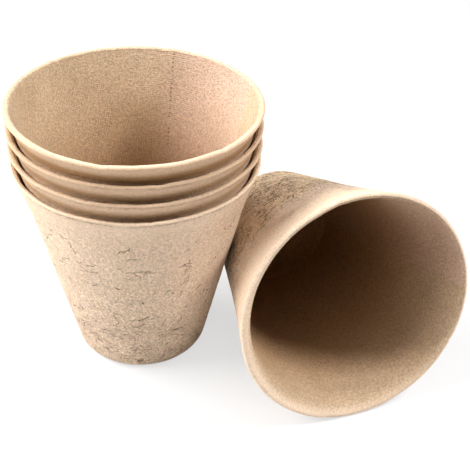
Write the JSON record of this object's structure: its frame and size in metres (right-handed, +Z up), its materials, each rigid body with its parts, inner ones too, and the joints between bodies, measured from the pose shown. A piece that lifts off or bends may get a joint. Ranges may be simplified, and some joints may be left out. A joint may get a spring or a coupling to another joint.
{
  "type": "set of peat pots",
  "caption": "Round tapered seedling pots moulded from peat and paper pulp, some nested in one another and one lying loose beside the nest.",
  "frame": {"origin": "middle of the bottom pot's foot, on the table", "axes": "+Z up the axis of the nest, +X towards the loose pot, whose mouth faces -Y"},
  "size_m": [0.1374, 0.1045, 0.0936],
  "materials": {
    "pulp": "matte"
  },
  "bodies": {
    "bottom_pot": {"bottom_pot": "pulp"},
    "second_pot": {"second_pot": "pulp"},
    "third_pot": {"third_pot": "pulp"},
    "top_pot": {"top_pot": "pulp"},
    "loose_pot": {"loose_pot": "pulp"}
  },
  "joints": [
    {"name": "second_pot_lift", "type": "slide", "parent": "bottom_pot", "child": "second_pot", "axis": [0, 0, 1], "range_m": [0, 0.075]},
    {"name": "third_pot_lift", "type": "slide", "parent": "second_pot", "child": "third_pot", "axis": [0, 0, 1], "range_m": [0, 0.075]},
    {"name": "top_pot_lift", "type": "slide", "parent": "third_pot", "child": "top_pot", "axis": [0, 0, 1], "range_m": [0, 0.075]},
    {"name": "loose_pot_roll", "type": "hinge", "parent": "bottom_pot", "child": "loose_pot", "pos_m": [0.05736, 0.11248, 0], "axis": [0, 0, 1], "range_deg": [0, 60]}
  ]
}
